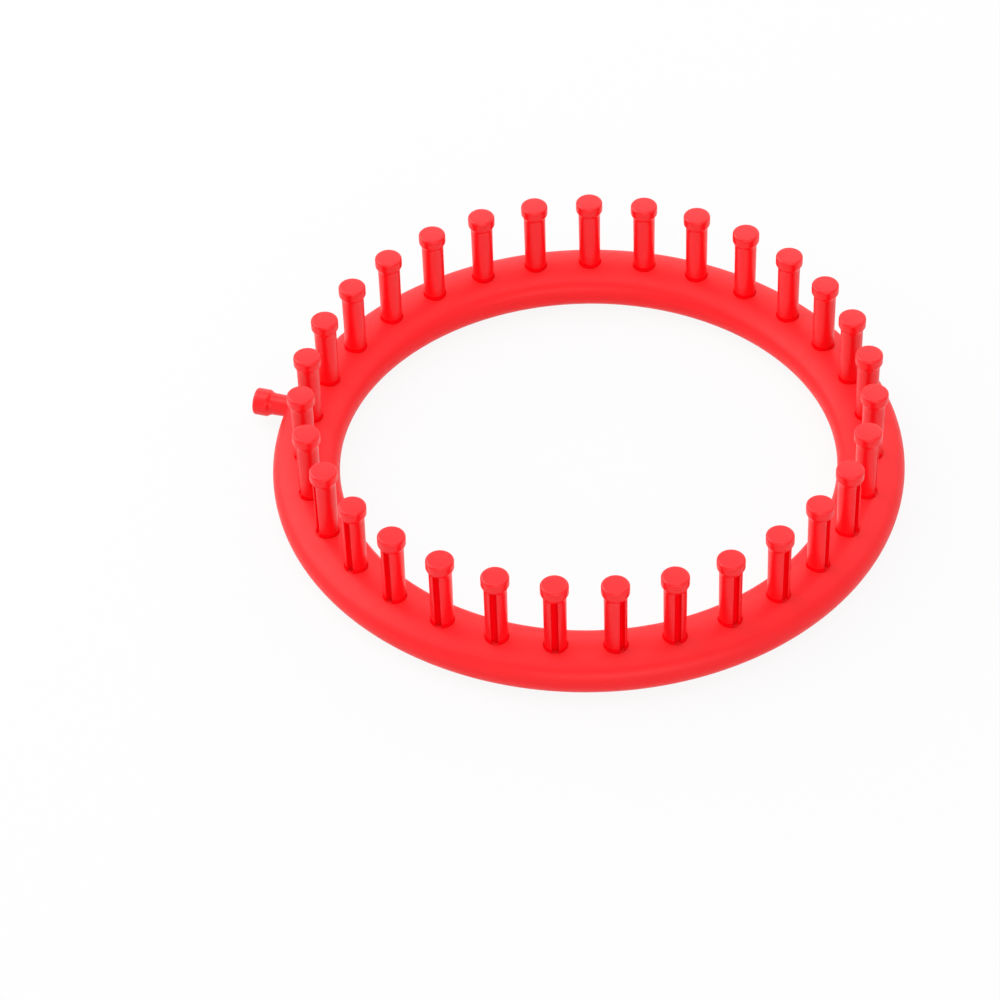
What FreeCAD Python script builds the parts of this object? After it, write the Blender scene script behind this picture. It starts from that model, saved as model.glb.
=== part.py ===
import FreeCAD, Part
import math
import os

from FreeCAD import Vector

# Round knitting loom: a hollow plastic ring moulded in two halves, with a circle of upright
# pegs pressed into its top and one more peg, the anchor peg, standing out of its side.
# Sizes are millimetres. +Z is up, the ring's centre line is the Z axis, and z = 0 is the
# plane that the ring rests on. The person knitting sits on the -Y side.

# Ring, outside
RING_OUTER_DIAMETER = 241.0
RING_WIDTH = 25.6
RING_HEIGHT = 16.0
SEAM_HEIGHT = 8.0
SHOULDER_RADIUS = 6.4
LOWER_CORNER_RADIUS = 7.8

# Ring, inside
RING_WALL = 2.0
LIP_DEPTH = 1.5
LIP_THICKNESS = 0.9
LIP_CLEARANCE = 0.1

# Upright pegs
PEG_COUNT = 31
PEG_STAND = 30.4
HEAD_DIAMETER = 10.5
HEAD_DEPTH = 4.0
HEAD_RIM_RADIUS = 1.0
HEAD_CONE_DEPTH = 1.5
SHAFT_TOP_DIAMETER = 8.6
SHAFT_FOOT_DIAMETER = 8.3
FOOT_DIAMETER = 8.8
FOOT_EDGE = 0.8
FOOT_FLARE_HEIGHT = 1.0
GROOVE_WIDTH = 2.4
GROOVE_DEPTH = 2.2
GROOVE_NECK = 0.2

# How an upright peg is held in the ring
SEAT_DEPTH = 0.6
SEAT_CLEARANCE = 0.1
SPIGOT_DIAMETER = 5.6
SPIGOT_SHORTFALL = 1.0
SPIGOT_CHAMFER = 0.6
SOCKET_CLEARANCE = 0.05
SOCKET_WALL = 1.9
SOCKET_LENGTH = 8.9
POST_GAP = 0.1

# Anchor peg, which lies level with the seam and is caught between the two halves
ANCHOR_ANGLE = 164.5
ANCHOR_STAND = 13.5
ANCHOR_HEAD_DEPTH = 5.6
ANCHOR_TAIL = 13.5
ANCHOR_NECK_DIAMETER = 5.6
ANCHOR_NECK_WIDTH = 1.8
ANCHOR_NECK_INSET = 10.5
ANCHOR_HOLE_CLEARANCE = 0.1
RIB_CLEARANCE = 0.1
RIB_WIDTH = 11.0

# Pegs whose groove has turned away from straight out, in degrees, anticlockwise from above.
# The spigots are round, so a peg can be pressed in a little out of line.
GROOVE_TURN = {5: 20.0, 6: 10.0, 7: 7.0, 8: 6.5, 9: 5.0, 10: 34.0, 11: -2.0, 12: 3.0, 13: -2.0, 15: -12.0}

UP = Vector(0, 0, 1)
ORIGIN = Vector(0, 0, 0)

outer_radius = RING_OUTER_DIAMETER / 2
half_width = RING_WIDTH / 2
mid_radius = outer_radius - half_width
peg_pitch = 360.0 / PEG_COUNT
seat_height = RING_HEIGHT - SEAT_DEPTH
spigot_length = SOCKET_LENGTH - SPIGOT_SHORTFALL


def spot(x, z):
    """A point of the ring's section: x out from the section's middle, z up from the table."""
    return Vector(mid_radius + x, 0, z)


def line(start, end):
    """A straight edge, or nothing where the two points are the same."""
    if start.distanceToPoint(end) < 1e-6:
        return []
    return [Part.LineSegment(start, end).toShape()]


def arc(x, z, radius, start_angle, end_angle):
    """An arc of the section about (x, z), with its angles in degrees from straight out."""
    angles = [start_angle, (start_angle + end_angle) / 2, end_angle]
    points = []
    for angle in angles:
        turn = math.radians(angle)
        points.append(spot(x + radius * math.cos(turn), z + radius * math.sin(turn)))
    return [Part.Arc(*points).toShape()]


def upper_outline(inset):
    """The arch of the ring's section above the seam, moved inwards by inset.

    Two shoulder arcs rise square from the seam, and one flatter crown arc joins them
    smoothly. The crown's radius follows from the width, the height and the shoulders.
    """
    rise = RING_HEIGHT - SEAM_HEIGHT
    shoulder = min(SHOULDER_RADIUS, 0.95 * rise, 0.95 * half_width)
    side = half_width - shoulder
    crown = (side ** 2 + rise ** 2 - shoulder ** 2) / (2 * (rise - shoulder))
    join = math.degrees(math.atan2(crown - rise, side))
    edges = arc(side, SEAM_HEIGHT, shoulder - inset, 0, join)
    edges += arc(0, RING_HEIGHT - crown, crown - inset, join, 180 - join)
    edges += arc(-side, SEAM_HEIGHT, shoulder - inset, 180 - join, 180)
    return edges


def lower_outline(inset):
    """The trough of the section below the seam: a flat base between two round corners."""
    corner = min(LOWER_CORNER_RADIUS, SEAM_HEIGHT, 0.95 * half_width)
    side = half_width - corner
    reach = half_width - inset
    edges = line(spot(-reach, SEAM_HEIGHT), spot(-reach, corner))
    edges += arc(-side, corner, corner - inset, 180, 270)
    edges += line(spot(-side, inset), spot(side, inset))
    edges += arc(side, corner, corner - inset, 270, 360)
    edges += line(spot(reach, corner), spot(reach, SEAM_HEIGHT))
    return edges


def turned(edges):
    """The solid swept by a closed outline that goes once round the Z axis."""
    wire = Part.Wire(Part.__sortEdges__(edges))
    return Part.Face(wire).revolve(ORIGIN, UP, 360)


def half_shell(outline):
    """One half of the hollow ring: its outline, the same moved in by the wall, two rims."""
    edges = outline(0) + outline(RING_WALL)
    for side in (-1, 1):
        edges += line(spot(side * half_width, SEAM_HEIGHT), spot(side * (half_width - RING_WALL), SEAM_HEIGHT))
    return turned(edges)


def band(inner, outer, low, high):
    """A flat-sided hoop about the Z axis, given by two radii and two heights."""
    corners = [Vector(inner, 0, low), Vector(outer, 0, low), Vector(outer, 0, high), Vector(inner, 0, high)]
    edges = []
    for start, end in zip(corners, corners[1:] + corners[:1]):
        edges += line(start, end)
    return turned(edges)


def wall_bands(thickness, low, high):
    """Two bands that line the inner faces of the ring's outer and inner walls."""
    outer_face = outer_radius - RING_WALL
    inner_face = outer_radius - RING_WIDTH + RING_WALL
    outer_band = band(outer_face, outer_face + thickness, low, high)
    inner_band = band(inner_face - thickness, inner_face, low, high)
    return [outer_band, inner_band]


def peg_angle(number):
    """Where a peg stands round the ring. The anchor peg is midway between the last and first."""
    return ANCHOR_ANGLE + (number - 0.5) * peg_pitch


def peg_places():
    """The angle of every upright peg."""
    return [peg_angle(number) for number in range(1, PEG_COUNT + 1)]


def round_column(angle, radius, low, high):
    """An upright cylinder on the circle of pegs."""
    column = Part.makeCylinder(radius, high - low, Vector(mid_radius, 0, low))
    column.rotate(ORIGIN, UP, angle)
    return column


def level_cylinder(radius, inner, outer):
    """A cylinder on the anchor peg's axis, between two distances from the ring's centre."""
    cylinder = Part.makeCylinder(radius, outer - inner, Vector(inner, 0, SEAM_HEIGHT), Vector(1, 0, 0))
    cylinder.rotate(ORIGIN, UP, ANCHOR_ANGLE)
    return cylinder


def anchor_rib(low, high):
    """A plate across the hollow that drops into the anchor peg's neck and keeps it from pulling out."""
    thickness = ANCHOR_NECK_WIDTH - 2 * RIB_CLEARANCE
    middle = outer_radius - ANCHOR_NECK_INSET
    corner = Vector(middle - thickness / 2, -RIB_WIDTH / 2, low)
    rib = Part.makeBox(thickness, RIB_WIDTH, high - low, corner)
    rib.rotate(ORIGIN, UP, ANCHOR_ANGLE)
    notch = ANCHOR_NECK_DIAMETER / 2 + RIB_CLEARANCE
    return rib.cut(level_cylinder(notch, middle - ANCHOR_NECK_WIDTH, middle + ANCHOR_NECK_WIDTH))


def anchor_hole():
    """The round way in for the anchor peg, half of it in each half of the ring."""
    radius = SHAFT_TOP_DIAMETER / 2 + ANCHOR_HOLE_CLEARANCE
    inner = outer_radius - ANCHOR_NECK_INSET + ANCHOR_NECK_WIDTH / 2
    return level_cylinder(radius, inner, outer_radius + ANCHOR_STAND)


def ring_top_shell():
    """The upper half of the ring, with its lips, its peg sockets and its anchor rib."""
    mid_roof = RING_HEIGHT - RING_WALL * 0.75
    lip_top = SEAM_HEIGHT + RING_WALL / 2
    socket_bottom = seat_height - SOCKET_LENGTH
    bore = SPIGOT_DIAMETER / 2 + SOCKET_CLEARANCE
    seat = FOOT_DIAMETER / 2 + SEAT_CLEARANCE
    additions = wall_bands(LIP_THICKNESS, SEAM_HEIGHT - LIP_DEPTH, lip_top)
    cuts = [anchor_hole()]
    for angle in peg_places():
        additions.append(round_column(angle, bore + SOCKET_WALL, socket_bottom, mid_roof))
        cuts.append(round_column(angle, bore, socket_bottom - RING_WALL, RING_HEIGHT))
        cuts.append(round_column(angle, seat, seat_height, RING_HEIGHT + SEAT_DEPTH))
    additions.append(anchor_rib(SEAM_HEIGHT, mid_roof))
    return half_shell(upper_outline).multiFuse(additions).cut(cuts)


def ring_bottom_shell():
    """The lower half of the ring, rebated for the lips, with a post under every socket."""
    mid_floor = RING_WALL / 2
    post_top = seat_height - SOCKET_LENGTH - POST_GAP
    post = SPIGOT_DIAMETER / 2 + SOCKET_CLEARANCE + SOCKET_WALL
    rebate_floor = SEAM_HEIGHT - LIP_DEPTH - LIP_CLEARANCE
    cuts = wall_bands(LIP_THICKNESS + LIP_CLEARANCE, rebate_floor, RING_HEIGHT)
    cuts.append(anchor_hole())
    additions = [anchor_rib(mid_floor, SEAM_HEIGHT)]
    for angle in peg_places():
        additions.append(round_column(angle, post, mid_floor, post_top))
    return half_shell(lower_outline).cut(cuts).multiFuse(additions)


def head_outline(base, shaft_radius, depth):
    """Points and arc of a peg's head from the top of its shaft to its centre line.

    The head widens in a short cone, rises straight, and rolls over a rounded rim to a
    flat top. It is drawn about the Z axis, with base the height where the shaft ends and
    depth the head's height above the cone.
    """
    radius = HEAD_DIAMETER / 2
    rim = HEAD_RIM_RADIUS
    wall_low = base + HEAD_CONE_DEPTH
    top = wall_low + depth
    slant = rim * math.cos(math.radians(45))
    rim_start = Vector(radius, 0, top - rim)
    rim_middle = Vector(radius - rim + slant, 0, top - rim + slant)
    rim_end = Vector(radius - rim, 0, top)
    edges = line(Vector(shaft_radius, 0, base), Vector(radius, 0, wall_low))
    edges += line(Vector(radius, 0, wall_low), rim_start)
    edges.append(Part.Arc(rim_start, rim_middle, rim_end).toShape())
    edges += line(rim_end, Vector(0, 0, top))
    return edges


def chain(points):
    """Straight edges through points given as (radius, height)."""
    vectors = [Vector(radius, 0, height) for radius, height in points]
    edges = []
    for start, end in zip(vectors, vectors[1:]):
        edges += line(start, end)
    return edges


def upright_peg(turn):
    """A peg on the Z axis with its foot's underside at z = 0 and its groove towards +X.

    The groove is where the pick slides in behind a loop of yarn. It is square-ended below
    the head and runs down through the foot.
    """
    spigot = SPIGOT_DIAMETER / 2
    foot = FOOT_DIAMETER / 2
    shaft_foot = SHAFT_FOOT_DIAMETER / 2
    shaft_top = SHAFT_TOP_DIAMETER / 2
    height = SEAT_DEPTH + PEG_STAND
    shaft_end = height - HEAD_DEPTH - HEAD_CONE_DEPTH
    flare_top = FOOT_EDGE + FOOT_FLARE_HEIGHT
    flare_middle = Vector(shaft_foot + 0.25 * (foot - shaft_foot), 0, FOOT_EDGE + 0.4 * FOOT_FLARE_HEIGHT)
    edges = chain([
        (0, height),
        (0, -spigot_length),
        (spigot - SPIGOT_CHAMFER, -spigot_length),
        (spigot, SPIGOT_CHAMFER - spigot_length),
        (spigot, 0),
        (foot, 0),
        (foot, FOOT_EDGE),
    ])
    edges.append(Part.Arc(Vector(foot, 0, FOOT_EDGE), flare_middle, Vector(shaft_foot, 0, flare_top)).toShape())
    edges += chain([(shaft_foot, flare_top), (shaft_top, shaft_end)])
    edges += head_outline(shaft_end, shaft_top, HEAD_DEPTH)
    floor = shaft_foot - GROOVE_DEPTH
    groove = Part.makeBox(foot, GROOVE_WIDTH, shaft_end - GROOVE_NECK, Vector(floor, -GROOVE_WIDTH / 2, 0))
    peg = turned(edges).cut(groove)
    peg.rotate(ORIGIN, UP, turn)
    return peg


def placed_peg(number):
    """An upright peg in its socket."""
    peg = upright_peg(GROOVE_TURN.get(number, 0.0))
    peg.translate(Vector(mid_radius, 0, seat_height))
    peg.rotate(ORIGIN, UP, peg_angle(number))
    return peg


def anchor_peg():
    """The side peg: a longer head, a plain shaft, and a neck inside the ring for the ribs."""
    shaft_root = SHAFT_FOOT_DIAMETER / 2
    shaft_top = SHAFT_TOP_DIAMETER / 2
    neck = ANCHOR_NECK_DIAMETER / 2
    neck_low = -ANCHOR_NECK_INSET - ANCHOR_NECK_WIDTH / 2
    neck_high = -ANCHOR_NECK_INSET + ANCHOR_NECK_WIDTH / 2
    shaft_end = ANCHOR_STAND - ANCHOR_HEAD_DEPTH - HEAD_CONE_DEPTH
    edges = chain([
        (0, ANCHOR_STAND),
        (0, -ANCHOR_TAIL),
        (shaft_root - SPIGOT_CHAMFER, -ANCHOR_TAIL),
        (shaft_root, SPIGOT_CHAMFER - ANCHOR_TAIL),
        (shaft_root, neck_low),
        (neck, neck_low),
        (neck, neck_high),
        (shaft_root, neck_high),
        (shaft_root, 0),
        (shaft_top, shaft_end),
    ])
    edges += head_outline(shaft_end, shaft_top, ANCHOR_HEAD_DEPTH)
    peg = turned(edges)
    peg.rotate(ORIGIN, Vector(0, 1, 0), 90)
    peg.translate(Vector(outer_radius, 0, SEAM_HEIGHT))
    peg.rotate(ORIGIN, UP, ANCHOR_ANGLE)
    return peg


def build():
    """Every piece of the loom by name."""
    pieces = {
        "ring_top_shell": ring_top_shell(),
        "ring_bottom_shell": ring_bottom_shell(),
        "anchor_peg": anchor_peg(),
    }
    for number in range(1, PEG_COUNT + 1):
        pieces["peg_%02d" % number] = placed_peg(number)
    return pieces


os.makedirs("parts", exist_ok=True)
for name, shape in build().items():
    shape.exportStep(os.path.join("parts", name + ".step"))
    print(name, "solids", len(shape.Solids), "volume", round(shape.Volume, 1), "valid", shape.isValid())
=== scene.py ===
import math

import bpy
import numpy as np
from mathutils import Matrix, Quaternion, Vector


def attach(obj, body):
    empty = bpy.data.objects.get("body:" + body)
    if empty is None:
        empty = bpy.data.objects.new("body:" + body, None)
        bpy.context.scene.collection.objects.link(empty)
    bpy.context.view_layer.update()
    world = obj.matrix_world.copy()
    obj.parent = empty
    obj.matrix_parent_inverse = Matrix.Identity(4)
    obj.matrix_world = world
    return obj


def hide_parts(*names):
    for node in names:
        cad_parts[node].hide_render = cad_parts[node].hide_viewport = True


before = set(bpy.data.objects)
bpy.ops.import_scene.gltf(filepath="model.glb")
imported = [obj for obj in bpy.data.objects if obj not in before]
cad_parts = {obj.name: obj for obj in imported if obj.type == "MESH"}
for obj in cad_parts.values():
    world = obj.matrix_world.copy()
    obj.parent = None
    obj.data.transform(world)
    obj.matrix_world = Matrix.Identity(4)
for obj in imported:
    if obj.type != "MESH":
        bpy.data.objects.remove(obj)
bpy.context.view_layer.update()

# Round knitting loom. Lengths are millimetres until a mesh is made, angles are degrees.
MM = 0.001

# Ring, outside
RING_OUTER_RADIUS = 120.5
HALF_WIDTH = 12.8
RING_HEIGHT = 16.0
SEAM_HEIGHT = 8.0
SHOULDER_RADIUS = 6.4
LOWER_CORNER_RADIUS = 7.8
SEAM_EDGE = 0.07

# Ring, inside
RING_WALL = 2.0
LIP_DEPTH = 1.5
LIP_THICKNESS = 0.9
LIP_CLEARANCE = 0.1
LIP_CHAMFER = 0.15

# Upright pegs
PEG_COUNT = 31
PEG_STAND = 30.4
HEAD_RADIUS = 5.25
HEAD_DEPTH = 4.0
HEAD_RIM_RADIUS = 1.0
HEAD_CONE_DEPTH = 1.5
HEAD_CROWN = 0.08
CONE_ROOT_FILLET = 2.5
CONE_EDGE_FILLET = 1.0
SHAFT_TOP_RADIUS = 4.3
SHAFT_FOOT_RADIUS = 4.15
FOOT_RADIUS = 4.4
FOOT_EDGE = 0.8
FOOT_FLARE_HEIGHT = 1.0
FLARE_POWER = 2.2
FOOT_UNDER_EDGE = 0.12
GROOVE_HALF_WIDTH = 1.2
GROOVE_DEPTH = 2.2
GROOVE_NECK = 0.2
GROOVE_EDGE = 0.3
GROOVE_CORNER = 0.25

# How an upright peg is held in the ring
SEAT_DEPTH = 0.6
SEAT_CLEARANCE = 0.1
SEAT_EDGE = 0.22
SEAT_EDGE_SHARE = 0.8
SPIGOT_RADIUS = 2.8
SPIGOT_SHORTFALL = 1.0
SPIGOT_CHAMFER = 0.6
SOCKET_CLEARANCE = 0.05
SOCKET_WALL = 1.9
SOCKET_LENGTH = 8.9
POST_GAP = 0.1
MOUTH_CHAMFER = 0.2

# Anchor peg
ANCHOR_ANGLE = 164.5
ANCHOR_STAND = 13.5
ANCHOR_HEAD_DEPTH = 5.6
ANCHOR_TAIL = 13.5
ANCHOR_NECK_RADIUS = 2.8
ANCHOR_NECK_WIDTH = 1.8
ANCHOR_NECK_INSET = 10.5
ANCHOR_NECK_EDGE = 0.1

# Pegs whose groove has turned away from straight out, anticlockwise from above
GROOVE_TURN = {
    5: 20.0, 6: 10.0, 7: 7.0, 8: 6.5, 9: 5.0,
    10: 34.0, 11: -2.0, 12: 3.0, 13: -2.0, 15: -12.0,
}

mid_radius = RING_OUTER_RADIUS - HALF_WIDTH
peg_pitch = 360.0 / PEG_COUNT
seat_height = RING_HEIGHT - SEAT_DEPTH
spigot_length = SOCKET_LENGTH - SPIGOT_SHORTFALL
rise = RING_HEIGHT - SEAM_HEIGHT
shoulder_side = HALF_WIDTH - SHOULDER_RADIUS
crown_radius = (shoulder_side ** 2 + rise ** 2 - SHOULDER_RADIUS ** 2) / (2 * (rise - SHOULDER_RADIUS))
crown_centre = RING_HEIGHT - crown_radius
crown_join = math.degrees(math.atan2(crown_radius - rise, shoulder_side))
corner_side = HALF_WIDTH - LOWER_CORNER_RADIUS

# How finely the surfaces are divided
TANGENT_STEPS = 16
RADIAL_STEPS = 8
SECTOR_EDGE = 7.0
RING_STEPS = PEG_COUNT * TANGENT_STEPS
ANCHOR_STEPS = 72
ROUND_STEP = 9.0
FEWEST_ROUND_STEPS = 3
SHARP_ANGLE = 38.0
WELD_DISTANCE = 0.0001

# Added before the weld's rounding, so that round lengths don't lie on the border between two steps
WELD_SHIFT = 0.37

# Steps along the ring's section
ROOF_STEPS = 3
CROWN_STEPS = 5
INNER_SHOULDER_STEPS = 12
SHOULDER_STEPS = 20
INNER_CORNER_STEPS = 14
CORNER_STEPS = 26
SEAM_STEPS = 4

# Rows up a peg, and its columns from the middle of the groove to the middle of its back
FLARE_ROWS = 8
SHAFT_STEPS = 14
GROOVE_FLOOR_COLUMNS = 2
GROOVE_CORNER_COLUMNS = 4
GROOVE_EDGE_COLUMNS = 5
BACK_STEPS = 28

# Rows of a sector, as shares of the way from the circle round the peg's axis to the border
SKIN_SHARES = (1.0, 0.75, 0.52, 0.32, 0.16, 0.06, 0.0)
ROOF_SHARES = (0.0, 0.1, 0.3, 0.6, 1.0)
FLOOR_SHARES = (1.0, 0.6, 0.3, 0.1, 0.0)

# Angles of the rows on a seat's rounded edge, in degrees
SEAT_EDGE_TURNS = (72, 54, 36, 18, 0)

# Rows of a head's top, as shares of its radius
CROWN_SHARES = (0.85, 0.6, 0.3, 0.0)

# Where the groove's columns lie once it has closed, as shares of the way from its middle to its edge
CLOSED_SHARES = (0.0, 0.22, 0.45, 0.5, 0.55, 0.6, 0.72, 0.82, 0.87, 0.92, 0.96, 1.0)

# How the groove's upper end closes: height above the end, and how far open the groove still is
GROOVE_CLOSING = ((0.0, 0.7), (0.0, 0.4), (0.0, 0.16), (0.03, 0.08), (0.09, 0.025), (0.2, 0.0))
CLOSING_MARGIN = 0.05


# Shared surface tools

def arc(x, z, radius, start, end, steps):
    """Points (x, z) of an arc: the centre plus radius times cosine and sine of evenly spaced angles."""
    turn = np.radians(np.linspace(start, end, steps + 1))
    return np.stack([x + radius * np.cos(turn), z + radius * np.sin(turn)], axis=1)


def rounded(corners):
    """An outline (x, z) through corners given as (x, z, radius), each turned on an arc of its radius.

    At a corner the arc starts and ends radius * tan(turn / 2) away from it along its two sides.
    """
    points = [np.array([corners[0][:2]], dtype=float)]
    for before, corner, after in zip(corners, corners[1:], corners[2:]):
        here = np.array(corner[:2], dtype=float)
        if corner[2] == 0:
            points.append(here[None])
            continue
        back = np.array(before[:2], dtype=float) - here
        ahead = np.array(after[:2], dtype=float) - here
        back /= np.linalg.norm(back)
        ahead /= np.linalg.norm(ahead)
        turn = math.pi - math.acos(float(np.clip(back @ ahead, -1, 1)))
        reach = corner[2] * math.tan(turn / 2)
        middle = back + ahead
        middle *= corner[2] / math.cos(turn / 2) / np.linalg.norm(middle)
        centre = here + middle
        first = here + back * reach - centre
        last = here + ahead * reach - centre
        steps = max(FEWEST_ROUND_STEPS, int(math.ceil(math.degrees(turn) / ROUND_STEP)))
        share = np.linspace(0, 1, steps + 1)[:, None]
        fan = (np.sin((1 - share) * turn) * first + np.sin(share * turn) * last) / math.sin(turn)
        points.append(centre + fan)
    points.append(np.array([corners[-1][:2]], dtype=float))
    return np.concatenate(points)


def turned_about_z(points, angle):
    """The points turned about the Z axis: x cos - y sin, x sin + y cos, z."""
    turn = np.radians(angle)
    cos, sin = np.cos(turn), np.sin(turn)
    x, y, z = points[..., 0], points[..., 1], points[..., 2]
    return np.stack([x * cos - y * sin, x * sin + y * cos, z + 0 * x], axis=-1)


def swept(outline, angles):
    """A surface round the Z axis: (r cos a, r sin a, z) for each outline point and each angle."""
    turn = np.radians(angles)[None, :]
    radius = outline[:, :1]
    height = np.broadcast_to(outline[:, 1:], (len(outline), turn.shape[1]))
    return np.stack([radius * np.cos(turn), radius * np.sin(turn), height], axis=-1)


def quads_of(rows, columns):
    """Corner numbers of the cells of one grid, whose points are numbered along its rows."""
    row, column = np.meshgrid(np.arange(rows - 1), np.arange(columns - 1), indexing="ij")
    first = (row * columns + column).ravel()
    return np.stack([first, first + 1, first + columns + 1, first + columns], axis=1)


def welded(lots):
    """Points, four-sided faces, three-sided faces and each face's lot, from lots of grids joined up.

    Every grid is rows x columns x 3. Points that agree to the weld distance become one, cells
    whose corners fall together become triangles, and cells with no area left are dropped.
    """
    points, cells, owners, total = [], [], [], 0
    for number, lot in enumerate(lots):
        for grid in lot:
            points.append(grid.reshape(-1, 3))
            cells.append(quads_of(grid.shape[0], grid.shape[1]) + total)
            owners.append(np.full(len(cells[-1]), number))
            total += len(points[-1])
    points, cells, owners = np.concatenate(points), np.concatenate(cells), np.concatenate(owners)
    key = np.round(points / WELD_DISTANCE + WELD_SHIFT).astype(np.int64)
    _, kept, renumber = np.unique(key, axis=0, return_index=True, return_inverse=True)
    cells = renumber.reshape(-1)[cells]
    same = cells == np.roll(cells, -1, axis=1)
    crossed = (cells[:, 0] == cells[:, 2]) | (cells[:, 1] == cells[:, 3])
    pairs = same.sum(axis=1)
    whole, merged = (pairs == 0) & ~crossed, (pairs == 1) & ~crossed
    three = cells[merged][~same[merged]].reshape(-1, 3)
    return points[kept], cells[whole], three, np.concatenate([owners[whole], owners[merged]])


def add_piece(name, lots, finishes, node):
    """A piece of the loom for a CAD node: lots of grids, each with its finish, as one smooth mesh."""
    points, four, three, owners = welded(lots)
    mesh = bpy.data.meshes.new(name)
    mesh.from_pydata((points * MM).tolist(), [], four.tolist() + three.tolist())
    for material in finishes:
        mesh.materials.append(material)
    mesh.polygons.foreach_set("material_index", owners.astype(np.int32))
    mesh.validate()
    mesh.update()
    mesh.shade_smooth()
    mesh.set_sharp_from_angle(angle=math.radians(SHARP_ANGLE))
    piece = bpy.data.objects.new(name, mesh)
    bpy.context.scene.collection.objects.link(piece)
    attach(piece, "root")
    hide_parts(node)
    return piece


# The ring

def arch_height(x, inset):
    """Height of the crown arc at distance x from the section's middle, moved in by inset."""
    return crown_centre + np.sqrt((crown_radius - inset) ** 2 - x ** 2)


def floor_height(x):
    """Height of the lower half's inner floor: flat, then a quarter arc up towards the wall."""
    over = np.maximum(np.abs(x) - corner_side, 0)
    inner = LOWER_CORNER_RADIUS - RING_WALL
    return LOWER_CORNER_RADIUS - np.sqrt(inner ** 2 - over ** 2)


def sector_rim():
    """The border of one peg's share of the ring, anticlockwise, as (x, y) from the peg's axis.

    Two sides follow circles about the ring's centre and two are radial lines, and every point is
    (radius cos a - mid radius, radius sin a).
    """
    half = peg_pitch / 2
    along = np.linspace(-half, half, TANGENT_STEPS + 1)
    across = np.linspace(SECTOR_EDGE, -SECTOR_EDGE, RADIAL_STEPS + 1)
    radius = np.concatenate([
        np.full(TANGENT_STEPS, SECTOR_EDGE),
        across[:-1],
        np.full(TANGENT_STEPS, -SECTOR_EDGE),
        across[::-1],
    ])
    angle = np.concatenate([
        along[:-1],
        np.full(RADIAL_STEPS, half),
        along[::-1][:-1],
        np.full(RADIAL_STEPS + 1, -half),
    ])
    turn = np.radians(angle)
    radius = mid_radius + radius
    return np.stack([radius * np.cos(turn) - mid_radius, radius * np.sin(turn)], axis=1)


def placed(x, y, z):
    """Points of a sector given from the peg's axis, moved out to the circle of pegs."""
    return np.stack([mid_radius + x, y + 0 * x, z + 0 * x], axis=-1)


def offset_of(x, y):
    """How far a point of a sector is outside the circle of pegs."""
    return np.hypot(mid_radius + x, y) - mid_radius


def on_skin(x, y, inset=0.0, drop=0.0):
    """Points of a sector on the crown arc moved in by inset, and then down by drop."""
    return placed(x, y, arch_height(offset_of(x, y), inset) - drop)


def spread(rim, radius, shares):
    """Points between a circle about the peg's axis and the sector's border, at these shares of the way."""
    way = np.arctan2(rim[:, 1], rim[:, 0])
    circle = radius * np.stack([np.cos(way), np.sin(way)], axis=1)
    share = np.asarray(shares)[:, None, None]
    return circle[None] + (rim - circle)[None] * share


def top_sector():
    """One peg's share of the upper half, as rows from the skin's border to the inner roof's.

    The rows run in over the crown to the seat's rounded edge, down into the seat, across its
    floor, down the bore, round the end of the socket, up its outside and out along the roof.
    The edge's radius is at most a set share of the seat's depth below the crown there.
    """
    rim = sector_rim()
    way = np.arctan2(rim[:, 1], rim[:, 0])
    cos, sin = np.cos(way), np.sin(way)
    seat = FOOT_RADIUS + SEAT_CLEARANCE
    bore = SPIGOT_RADIUS + SOCKET_CLEARANCE
    tube = bore + SOCKET_WALL
    bottom = seat_height - SOCKET_LENGTH
    brim = arch_height(offset_of(seat * cos, seat * sin), 0)
    edge = np.minimum(SEAT_EDGE, SEAT_EDGE_SHARE * (brim - seat_height))
    skin = spread(rim, seat + SEAT_EDGE, SKIN_SHARES)
    rows = [on_skin(skin[..., 0], skin[..., 1])]
    for turn in np.radians(SEAT_EDGE_TURNS):
        away = seat + edge * (1 - math.cos(turn))
        rows.append(on_skin(away * cos, away * sin, drop=edge * (1 - math.sin(turn)))[None])
    socket = (
        (seat, seat_height),
        (bore + MOUTH_CHAMFER, seat_height),
        (bore, seat_height - MOUTH_CHAMFER),
        (bore, bottom),
        (tube, bottom),
    )
    for radius, height in socket:
        rows.append(placed(radius * cos, radius * sin, height)[None])
    roof = spread(rim, tube, ROOF_SHARES)
    rows.append(on_skin(roof[..., 0], roof[..., 1], inset=RING_WALL))
    return np.concatenate(rows)


def bottom_sector():
    """One peg's share of the lower half's floor: rows from the border to the post, up it and in."""
    rim = sector_rim()
    way = np.arctan2(rim[:, 1], rim[:, 0])
    cos, sin = np.cos(way), np.sin(way)
    post = SPIGOT_RADIUS + SOCKET_CLEARANCE + SOCKET_WALL
    top = seat_height - SOCKET_LENGTH - POST_GAP
    floor = spread(rim, post, FLOOR_SHARES)
    x, y = floor[..., 0], floor[..., 1]
    rows = [placed(x, y, floor_height(offset_of(x, y)))]
    for radius, height in ((post, top - MOUTH_CHAMFER), (post - MOUTH_CHAMFER, top), (0.0, top)):
        rows.append(placed(radius * cos, radius * sin, height)[None])
    return np.concatenate(rows)


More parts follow.
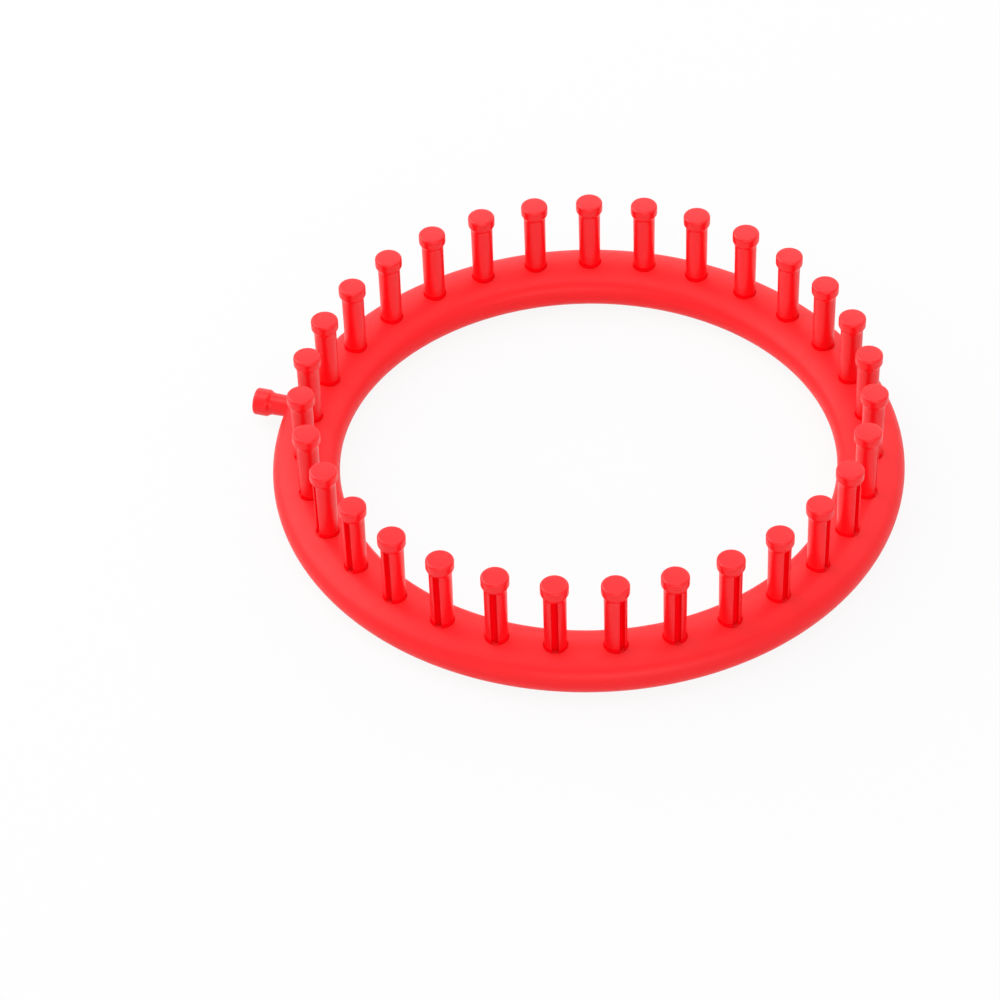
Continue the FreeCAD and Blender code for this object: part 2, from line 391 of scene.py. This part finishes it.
def top_side():
    """The upper half's section outside its sectors: roof, lip, rim, shoulder, and back to the crown.

    It is given as (distance from the section's middle, height). The rim's rounded edge stops a
    step short of a quarter turn, where the shoulder starts.
    """
    skin_start = math.degrees(math.acos(SECTOR_EDGE / crown_radius))
    roof_start = math.degrees(math.acos(SECTOR_EDGE / (crown_radius - RING_WALL)))
    inner = HALF_WIDTH - RING_WALL
    lip = inner + LIP_THICKNESS
    low = SEAM_HEIGHT - LIP_DEPTH
    shoulder = SHOULDER_RADIUS - RING_WALL
    first = math.degrees(math.asin(SEAM_EDGE / SHOULDER_RADIUS))
    edge_end = 360 - 90 / (SEAM_STEPS + 1)
    return np.concatenate([
        arc(0, crown_centre, crown_radius - RING_WALL, roof_start, crown_join, ROOF_STEPS),
        arc(shoulder_side, SEAM_HEIGHT, shoulder, crown_join, 0, INNER_SHOULDER_STEPS)[1:],
        [(inner, low + LIP_CHAMFER), (inner + LIP_CHAMFER, low)],
        [(lip - LIP_CHAMFER, low), (lip, low + LIP_CHAMFER), (lip, SEAM_HEIGHT)],
        arc(HALF_WIDTH - SEAM_EDGE, SEAM_HEIGHT + SEAM_EDGE, SEAM_EDGE, 270, edge_end, SEAM_STEPS),
        arc(shoulder_side, SEAM_HEIGHT, SHOULDER_RADIUS, first, crown_join, SHOULDER_STEPS),
        arc(0, crown_centre, crown_radius, crown_join, skin_start, CROWN_STEPS)[1:],
    ])


def bottom_side():
    """The lower half's section outside its sectors: floor, wall, rebate, rim, outside and base.

    It starts on the inner floor at the inside of the ring and goes anticlockwise to the other side.
    """
    inner = HALF_WIDTH - RING_WALL
    rebate = inner + LIP_THICKNESS + LIP_CLEARANCE
    low = SEAM_HEIGHT - LIP_DEPTH - LIP_CLEARANCE
    corner = LOWER_CORNER_RADIUS - RING_WALL
    end = math.degrees(math.asin((low - LOWER_CORNER_RADIUS) / corner))
    start = -math.degrees(math.acos((SECTOR_EDGE - corner_side) / corner))
    edge = arc(HALF_WIDTH - SEAM_EDGE, SEAM_HEIGHT - SEAM_EDGE, SEAM_EDGE, 0, 90, SEAM_STEPS)
    outside = np.concatenate([
        [(0.0, 0.0), (corner_side / 2, 0.0)],
        arc(corner_side, LOWER_CORNER_RADIUS, LOWER_CORNER_RADIUS, 270, 360, CORNER_STEPS),
        edge,
        [(rebate, SEAM_HEIGHT), (rebate, low)],
        arc(corner_side, LOWER_CORNER_RADIUS, corner, end, start, INNER_CORNER_STEPS),
    ])
    inside = outside[::-1] * (-1, 1)
    return np.concatenate([inside[:-1], outside])


def whole_circle():
    """Every angle at which the ring's plain surfaces have points, the last on the first again."""
    return ANCHOR_ANGLE + np.linspace(0, 360, RING_STEPS + 1)


def all_sectors(sector):
    """The same sector at each of the pegs' places."""
    return [turned_about_z(sector, peg_angle(number)) for number in range(1, PEG_COUNT + 1)]


def peg_angle(number):
    """Where a peg stands round the ring. The anchor peg is midway between the last and first."""
    return ANCHOR_ANGLE + (number - 0.5) * peg_pitch


def ring_top_grids():
    """The upper half: one sector to each peg, and the sides beyond them swept round."""
    side = top_side()
    outer = side + (mid_radius, 0)
    inner = side[::-1] * (-1, 1) + (mid_radius, 0)
    angles = whole_circle()
    return all_sectors(top_sector()) + [swept(outer, angles), swept(inner, angles)]


def ring_bottom_grids():
    """The lower half: one sector of floor to each peg, and the rest of the section swept round."""
    return all_sectors(bottom_sector()) + [swept(bottom_side() + (mid_radius, 0), whole_circle())]


# The pegs

def head_corners(base, top):
    """Corners of a head's outline from the end of the shaft to the start of its crowned top."""
    return [
        (SHAFT_TOP_RADIUS, base, CONE_ROOT_FILLET),
        (HEAD_RADIUS, base + HEAD_CONE_DEPTH, CONE_EDGE_FILLET),
        (HEAD_RADIUS, top - HEAD_CROWN, HEAD_RIM_RADIUS),
    ]


def crowned(radius, height):
    """The head's top from its rim to its middle: height less the crown times (r / rim) squared."""
    share = np.array(CROWN_SHARES)
    return np.stack([radius * share, height - HEAD_CROWN * share ** 2], axis=1)


def peg_outline():
    """An upright peg's outline (radius, height) from the foot's upper edge to its crowned top.

    The foot's flare narrows from the foot's radius to the shaft's as (1 - share) to the power
    FLARE_POWER, with the share of the way up.
    """
    height = SEAT_DEPTH + PEG_STAND
    shaft_end = height - HEAD_DEPTH - HEAD_CONE_DEPTH
    share = np.linspace(0, 1, FLARE_ROWS)
    flare_radius = SHAFT_FOOT_RADIUS + (FOOT_RADIUS - SHAFT_FOOT_RADIUS) * (1 - share) ** FLARE_POWER
    flare = np.stack([flare_radius, FOOT_EDGE + FOOT_FLARE_HEIGHT * share], axis=1)
    corners = [(SHAFT_FOOT_RADIUS, FOOT_EDGE + FOOT_FLARE_HEIGHT, 0)]
    corners += head_corners(shaft_end, height) + [(0, height - HEAD_CROWN, 0)]
    return np.concatenate([flare, rounded(corners)[1:-1]])


def peg_rows():
    """An upright peg's rows as (radius, height, opening, edge), from the spigot's end to the head's top.

    The opening is 1 where the groove is cut and 0 where the peg is round, and the edge is the
    rounding of the groove's two long edges. Heights are from the foot's underside.
    """
    height = SEAT_DEPTH + PEG_STAND
    groove_end = height - HEAD_DEPTH - HEAD_CONE_DEPTH - GROOVE_NECK
    outline = peg_outline()
    spigot = np.array([
        (0, -spigot_length),
        (SPIGOT_RADIUS - SPIGOT_CHAMFER, -spigot_length),
        (SPIGOT_RADIUS, SPIGOT_CHAMFER - spigot_length),
        (SPIGOT_RADIUS, 0),
    ], dtype=float)
    foot = rounded([
        (SPIGOT_RADIUS, 0, 0),
        (FOOT_RADIUS, 0, FOOT_UNDER_EDGE),
        (FOOT_RADIUS, FOOT_EDGE, 0),
    ])[:-1]
    flare = outline[:FLARE_ROWS]
    climb = np.linspace(flare[-1, 1], groove_end, SHAFT_STEPS + 1)[1:]
    shaft = np.stack([np.interp(climb, outline[:, 1], outline[:, 0]), climb], axis=1)
    cut = np.concatenate([foot, flare, shaft])
    edge = np.full(len(cut), GROOVE_EDGE)
    edge[0] = 0
    close = np.array(GROOVE_CLOSING)
    closing = groove_end + close[:, 0]
    closing_radius = np.interp(closing, outline[:, 1], outline[:, 0])
    head = outline[outline[:, 1] > closing[-1] + CLOSING_MARGIN]
    top = crowned(head[-1, 0], height)
    plain = np.concatenate([head, top])
    rows = [
        np.column_stack([spigot, np.zeros(len(spigot)), np.zeros(len(spigot))]),
        np.column_stack([cut, np.ones(len(cut)), edge]),
        np.column_stack([closing_radius, closing, close[:, 1], np.full(len(close), GROOVE_EDGE)]),
        np.column_stack([plain, np.zeros(len(plain)), np.full(len(plain), GROOVE_EDGE)]),
    ]
    return np.concatenate(rows)


def peg_grid():
    """An upright peg about the Z axis, with its foot's underside at z = 0 and its groove towards +X.

    Each row is a ring: the groove's floor, a small inner corner, a side wall, a rounded edge and
    then the circle, mirrored for the other half. Where the opening is less than 1, the groove's
    points lie that share of the way from the circle to the groove.
    """
    rows = peg_rows()
    radius, height, opening, edge = [rows[:, k][:, None] for k in range(4)]
    floor = SHAFT_FOOT_RADIUS - GROOVE_DEPTH
    side, corner = GROOVE_HALF_WIDTH, GROOVE_CORNER
    base = np.maximum(radius, SPIGOT_RADIUS)
    centre = np.sqrt((base - edge) ** 2 - (side + edge) ** 2)
    start = np.arctan2(side + edge, centre)
    ledge = math.sqrt(SPIGOT_RADIUS ** 2 - side ** 2)

    def strip(x, y):
        return np.stack(np.broadcast_arrays(x, y, height)[:2], axis=-1)

    corner_share = np.linspace(0, 1, GROOVE_CORNER_COLUMNS)[None, :]
    corner_turn = math.pi - corner_share * math.pi / 2
    edge_share = np.linspace(0, 1, GROOVE_EDGE_COLUMNS)[None, :]
    edge_turn = -math.pi / 2 + (start + math.pi / 2) * edge_share
    corner_x = floor + corner + corner * np.cos(corner_turn) + 0 * radius
    corner_y = side - corner + corner * np.sin(corner_turn)
    floor_y = np.linspace(0, (side - corner) / 2, GROOVE_FLOOR_COLUMNS)[None, :]
    groove = np.concatenate([
        strip(floor + 0 * radius, floor_y),
        strip(corner_x, corner_y),
        strip(ledge + 0 * radius, side),
        strip(centre + edge * np.cos(edge_turn), side + edge + edge * np.sin(edge_turn)),
    ], axis=1)
    place = np.array([CLOSED_SHARES])
    round_part = np.stack([radius * np.cos(start * place), radius * np.sin(start * place)], axis=-1)
    groove = opening[..., None] * groove + (1 - opening[..., None]) * round_part
    turn = start + (math.pi - start) * np.linspace(0, 1, BACK_STEPS + 1)[None, 1:]
    circle = np.stack([radius * np.cos(turn), radius * np.sin(turn)], axis=-1)
    half = np.concatenate([groove, circle], axis=1)
    ring = np.concatenate([half[:, ::-1] * (1, -1), half[:, 1:]], axis=1)
    level = np.broadcast_to(height, ring.shape[:2])
    return np.concatenate([ring, level[..., None]], axis=2)


def split_by_finish(grid):
    """A peg's grid as two lots of smaller grids: polished, and the matt ones of foot and groove, which
    carry painted shade.
    """
    rows = peg_rows()
    first, last = np.flatnonzero(rows[:, 2] > 0)[[0, -1]] + (0, 1)
    flare = np.flatnonzero(rows[:, 1] >= FOOT_EDGE + FOOT_FLARE_HEIGHT)[0]
    middle = grid.shape[1] // 2
    reach = GROOVE_FLOOR_COLUMNS + GROOVE_CORNER_COLUMNS + 1
    left, right = middle - reach, middle + reach
    shaft = grid[flare:last + 1]
    polished = [grid[:first + 1], grid[last:], shaft[:, :left + 1], shaft[:, right:]]
    matt = [grid[first:flare + 1], shaft[:, left:right + 1]]
    return [polished, matt]


def upright_peg_lots(lots, number):
    """The peg in its seat: turned about its own axis, moved out and up, and turned to its place."""
    def seated(grid):
        own = turned_about_z(grid, GROOVE_TURN.get(number, 0.0))
        return turned_about_z(own + (mid_radius, 0, seat_height), peg_angle(number))

    return [[seated(grid) for grid in lot] for lot in lots]


def anchor_peg_grid():
    """The side peg: its outline swept about its axis, laid level, and turned to its place."""
    tail, stand = -ANCHOR_TAIL, ANCHOR_STAND
    neck_low = -ANCHOR_NECK_INSET - ANCHOR_NECK_WIDTH / 2
    neck_high = neck_low + ANCHOR_NECK_WIDTH
    shaft_end = stand - ANCHOR_HEAD_DEPTH - HEAD_CONE_DEPTH
    corners = [
        (0, tail, 0),
        (SHAFT_FOOT_RADIUS - SPIGOT_CHAMFER, tail, 0),
        (SHAFT_FOOT_RADIUS, tail + SPIGOT_CHAMFER, 0),
        (SHAFT_FOOT_RADIUS, neck_low, ANCHOR_NECK_EDGE),
        (ANCHOR_NECK_RADIUS, neck_low, ANCHOR_NECK_EDGE),
        (ANCHOR_NECK_RADIUS, neck_high, ANCHOR_NECK_EDGE),
        (SHAFT_FOOT_RADIUS, neck_high, ANCHOR_NECK_EDGE),
        (SHAFT_FOOT_RADIUS, 0, 0),
    ]
    corners += head_corners(shaft_end, stand) + [(0, stand - HEAD_CROWN, 0)]
    outline = rounded(corners)[:-1]
    outline = np.concatenate([outline, crowned(outline[-1, 0], stand)])
    upright = swept(outline, np.linspace(0, 360, ANCHOR_STEPS + 1))
    x, y, z = upright[..., 0], upright[..., 1], upright[..., 2]
    level = np.stack([z + RING_OUTER_RADIUS, y, SEAM_HEIGHT - x], axis=-1)
    return turned_about_z(level, ANCHOR_ANGLE)


# Finishes

# Noises: scale in turns to the metre, detail, and how much the detail counts
PATCH_NOISE = (38, 2, 0.5)
WEAR_NOISE = (210, 4, 0.6)
WAVE_NOISE = (130, 1, 0.5)
GRAIN_NOISE = (5200, 2, 0.5)

# The part of a noise's range that a finish goes through, and the two bumps' depths in metres
NOISE_LOW = 0.3
NOISE_HIGH = 0.7
WAVE_DEPTH = 0.00006
GRAIN_DEPTH = 0.0000035
PLASTIC_IOR = 1.5


def new_material(name):
    """An empty node material with its output and shader."""
    material = bpy.data.materials.new(name)
    material.use_nodes = True
    tree = material.node_tree
    tree.nodes.clear()
    shader = tree.nodes.new("ShaderNodeBsdfPrincipled")
    output = tree.nodes.new("ShaderNodeOutputMaterial")
    tree.links.new(shader.outputs["BSDF"], output.inputs["Surface"])
    return material, tree, shader


def noise(tree, place, scale, detail, roughness):
    """Noise on the piece's own coordinates, its scale in turns to the metre."""
    node = tree.nodes.new("ShaderNodeTexNoise")
    node.inputs["Scale"].default_value = scale
    node.inputs["Detail"].default_value = detail
    node.inputs["Roughness"].default_value = roughness
    tree.links.new(place.outputs["Object"], node.inputs["Vector"])
    return node.outputs["Fac"]


def ranged(tree, value, low, high, new_low, new_high):
    """The value stretched from one range to another and held inside it."""
    node = tree.nodes.new("ShaderNodeMapRange")
    limits = {"From Min": low, "From Max": high, "To Min": new_low, "To Max": new_high}
    for name, number in limits.items():
        node.inputs[name].default_value = number
    tree.links.new(value, node.inputs["Value"])
    return node.outputs["Result"]


def blended(tree, share, first, second):
    """A colour between two, by share."""
    node = tree.nodes.new("ShaderNodeMix")
    node.data_type = "RGBA"
    node.inputs["A"].default_value = (*first, 1)
    node.inputs["B"].default_value = (*second, 1)
    tree.links.new(share, node.inputs["Factor"])
    return node.outputs["Result"]


def bumped(tree, heights):
    """A normal roughened by several heights, each with its own depth in metres."""
    normal = None
    for height, depth in heights:
        node = tree.nodes.new("ShaderNodeBump")
        node.inputs["Strength"].default_value = 1.0
        node.inputs["Distance"].default_value = depth
        tree.links.new(height, node.inputs["Height"])
        if normal:
            tree.links.new(normal, node.inputs["Normal"])
        normal = node.outputs["Normal"]
    return normal


def moulded_plastic(name, colour, deeper, rough_range, specular):
    """Red injection-moulded plastic.

    The colour drifts slightly between two reds in patches a few centimetres wide, the roughness
    drifts in finer patches, and the surface has the faint waviness of a cooled moulding under a
    very fine grain.
    """
    material, tree, shader = new_material(name)
    place = tree.nodes.new("ShaderNodeTexCoord")
    patches = ranged(tree, noise(tree, place, *PATCH_NOISE), NOISE_LOW, NOISE_HIGH, 0, 1)
    tree.links.new(blended(tree, patches, colour, deeper), shader.inputs["Base Color"])
    worn = ranged(tree, noise(tree, place, *WEAR_NOISE), NOISE_LOW, NOISE_HIGH, *rough_range)
    tree.links.new(worn, shader.inputs["Roughness"])
    grain = noise(tree, place, *GRAIN_NOISE)
    waves = noise(tree, place, *WAVE_NOISE)
    tree.links.new(bumped(tree, [(waves, WAVE_DEPTH), (grain, GRAIN_DEPTH)]), shader.inputs["Normal"])
    shader.inputs["Specular IOR Level"].default_value = specular
    shader.inputs["IOR"].default_value = PLASTIC_IOR
    return material


# The ring's red has more green and blue, and less reflection, than the pegs' red of the same plastic: the
# paler tone is a painted sheen.
ring_plastic = moulded_plastic(
    "ring_plastic_satin_red_painted_sheen",
    colour=(0.940, 0.0185, 0.0230),
    deeper=(0.918, 0.0168, 0.0210),
    rough_range=(0.36, 0.46),
    specular=0.18,
)
peg_plastic = moulded_plastic(
    "peg_plastic_satin_red",
    colour=(0.940, 0.0032, 0.0082),
    deeper=(0.928, 0.0026, 0.0070),
    rough_range=(0.30, 0.38),
    specular=0.40,
)
# The groove and the foot get a copy of the pegs' red with less green and blue: painted shade for the
# groove's hollow and round the foot where it meets the ring, besides a rougher, duller finish.
matt_shaded_plastic = moulded_plastic(
    "peg_plastic_matt_red",
    colour=(0.940, 0.0012, 0.0060),
    deeper=(0.925, 0.0009, 0.0050),
    rough_range=(0.60, 0.70),
    specular=0.02,
)


# The pieces

peg_finishes = [peg_plastic, matt_shaded_plastic]
add_piece("ring_upper_half", [ring_top_grids()], [ring_plastic], "ring_top_shell")
add_piece("ring_lower_half", [ring_bottom_grids()], [ring_plastic], "ring_bottom_shell")
add_piece("side_peg", [[anchor_peg_grid()]], [peg_plastic], "anchor_peg")
one_peg = split_by_finish(peg_grid())
for number in range(1, PEG_COUNT + 1):
    lots = upright_peg_lots(one_peg, number)
    add_piece("upright_peg_%02d" % number, lots, peg_finishes, "peg_%02d" % number)


# Floor, light and camera

# Floor: half its side and its drop below the loom in metres, then cells to a side and shades
FLOOR_HALF = 4.0
FLOOR_DROP = 0.0002
FLOOR_CELLS = 8
FLOOR_GREY = 0.70
FLOOR_WHITE_SHARE = 0.90

# How strongly the surround lights the loom, where 1 is the white that the camera sees
WORLD_LEVEL = 0.42

# Soft lights: the place they all face, then name, place and size in metres, and power in watts
SOFTBOX_TARGET = (0.0, 0.0, 0.0)
SOFTBOXES = (
    ("softbox_left", (-1.185, 0.431, 0.985), (1.6, 1.3), 18.6),
    ("softbox_right", (0.939, 0.788, 1.028), (1.4, 1.2), 5.0),
    ("softbox_above", (0.0, 0.112, 1.596), (1.2, 1.0), 7.8),
    ("softbox_front", (0.308, -1.451, 0.599), (1.6, 0.7), 9.5),
    ("softbox_behind", (0.0, 1.386, 0.8), (1.6, 0.8), 3.8),
)

# Camera: places and clipping in metres, lens and sensor in millimetres, lean in degrees
CAMERA_PLACE = (0.0, -1.107203, 1.036718)
CAMERA_TARGET = (-0.033828, -0.014043, 0.0)
CAMERA_LENS = 142.318
CAMERA_SENSOR = 36.0
CAMERA_LEAN = -2.0634
CAMERA_CLIP = (0.05, 50.0)


def seen_directly(tree):
    """1 for rays from the camera and for mirror and glass rays, 0 for rays that carry light about."""
    path = tree.nodes.new("ShaderNodeLightPath")
    value = path.outputs["Is Camera Ray"]
    for name in ("Is Glossy Ray", "Is Transmission Ray"):
        node = tree.nodes.new("ShaderNodeMath")
        node.operation = "MAXIMUM"
        tree.links.new(value, node.inputs[0])
        tree.links.new(path.outputs[name], node.inputs[1])
        value = node.outputs["Value"]
    return value


def floor_material():
    """A matt white floor that keeps the shadow: what the camera sees of it is mostly plain white."""
    material = bpy.data.materials.new("pale_floor")
    material.use_nodes = True
    tree = material.node_tree
    tree.nodes.clear()
    matt = tree.nodes.new("ShaderNodeBsdfDiffuse")
    matt.inputs["Color"].default_value = (FLOOR_GREY, FLOOR_GREY, FLOOR_GREY, 1)
    white = tree.nodes.new("ShaderNodeEmission")
    white.inputs["Color"].default_value = (1, 1, 1, 1)
    share = tree.nodes.new("ShaderNodeMath")
    share.operation = "MULTIPLY"
    share.inputs[1].default_value = FLOOR_WHITE_SHARE
    tree.links.new(seen_directly(tree), share.inputs[0])
    mix = tree.nodes.new("ShaderNodeMixShader")
    output = tree.nodes.new("ShaderNodeOutputMaterial")
    tree.links.new(share.outputs["Value"], mix.inputs["Fac"])
    tree.links.new(matt.outputs["BSDF"], mix.inputs[1])
    tree.links.new(white.outputs["Emission"], mix.inputs[2])
    tree.links.new(mix.outputs["Shader"], output.inputs["Surface"])
    return material


def add_floor():
    """A flat square floor, a grid of x and y at one height."""
    corners = FLOOR_CELLS + 1
    line = np.linspace(-FLOOR_HALF, FLOOR_HALF, corners)
    x, y = np.meshgrid(line, line)
    points = np.stack([x, y, np.full_like(x, -FLOOR_DROP)], axis=-1)
    mesh = bpy.data.meshes.new("floor")
    mesh.from_pydata(points.reshape(-1, 3).tolist(), [], quads_of(corners, corners).tolist())
    mesh.materials.append(floor_material())
    floor = bpy.data.objects.new("floor", mesh)
    bpy.context.scene.collection.objects.link(floor)


def add_softbox(name, place, size, power):
    """A rectangular soft light at a place, facing the softboxes' target."""
    lamp = bpy.data.lights.new(name, "AREA")
    lamp.shape = "RECTANGLE"
    lamp.size, lamp.size_y = size
    lamp.energy = power
    light = bpy.data.objects.new(name, lamp)
    light.location = place
    facing = Vector(SOFTBOX_TARGET) - Vector(place)
    light.rotation_euler = facing.to_track_quat("-Z", "Y").to_euler()
    bpy.context.scene.collection.objects.link(light)


def set_world(level):
    """An even pale surround that lights the loom at the given level and is white where it is seen."""
    world = bpy.data.worlds.new("studio")
    bpy.context.scene.world = world
    world.use_nodes = True
    tree = world.node_tree
    tree.nodes.clear()
    lit = tree.nodes.new("ShaderNodeBackground")
    lit.inputs["Strength"].default_value = level
    seen = tree.nodes.new("ShaderNodeBackground")
    seen.inputs["Strength"].default_value = 1.0
    for node in (lit, seen):
        node.inputs["Color"].default_value = (1, 1, 1, 1)
    mix = tree.nodes.new("ShaderNodeMixShader")
    output = tree.nodes.new("ShaderNodeOutputWorld")
    tree.links.new(seen_directly(tree), mix.inputs["Fac"])
    tree.links.new(lit.outputs["Background"], mix.inputs[1])
    tree.links.new(seen.outputs["Background"], mix.inputs[2])
    tree.links.new(mix.outputs["Shader"], output.inputs["Surface"])


def add_camera():
    """The camera stands in front of the loom, 43 degrees up, and leans two degrees to its right."""
    lens = bpy.data.cameras.new("camera")
    lens.sensor_width = CAMERA_SENSOR
    lens.lens = CAMERA_LENS
    lens.clip_start, lens.clip_end = CAMERA_CLIP
    camera = bpy.data.objects.new("camera", lens)
    place = Vector(CAMERA_PLACE)
    level = (Vector(CAMERA_TARGET) - place).to_track_quat("-Z", "Y")
    lean = Quaternion((0, 0, 1), math.radians(CAMERA_LEAN))
    camera.location = place
    camera.rotation_euler = (level @ lean).to_euler()
    bpy.context.scene.collection.objects.link(camera)
    bpy.context.scene.camera = camera


add_floor()
set_world(WORLD_LEVEL)
for softbox in SOFTBOXES:
    add_softbox(*softbox)
add_camera()
bpy.context.scene.view_settings.view_transform = "Standard"
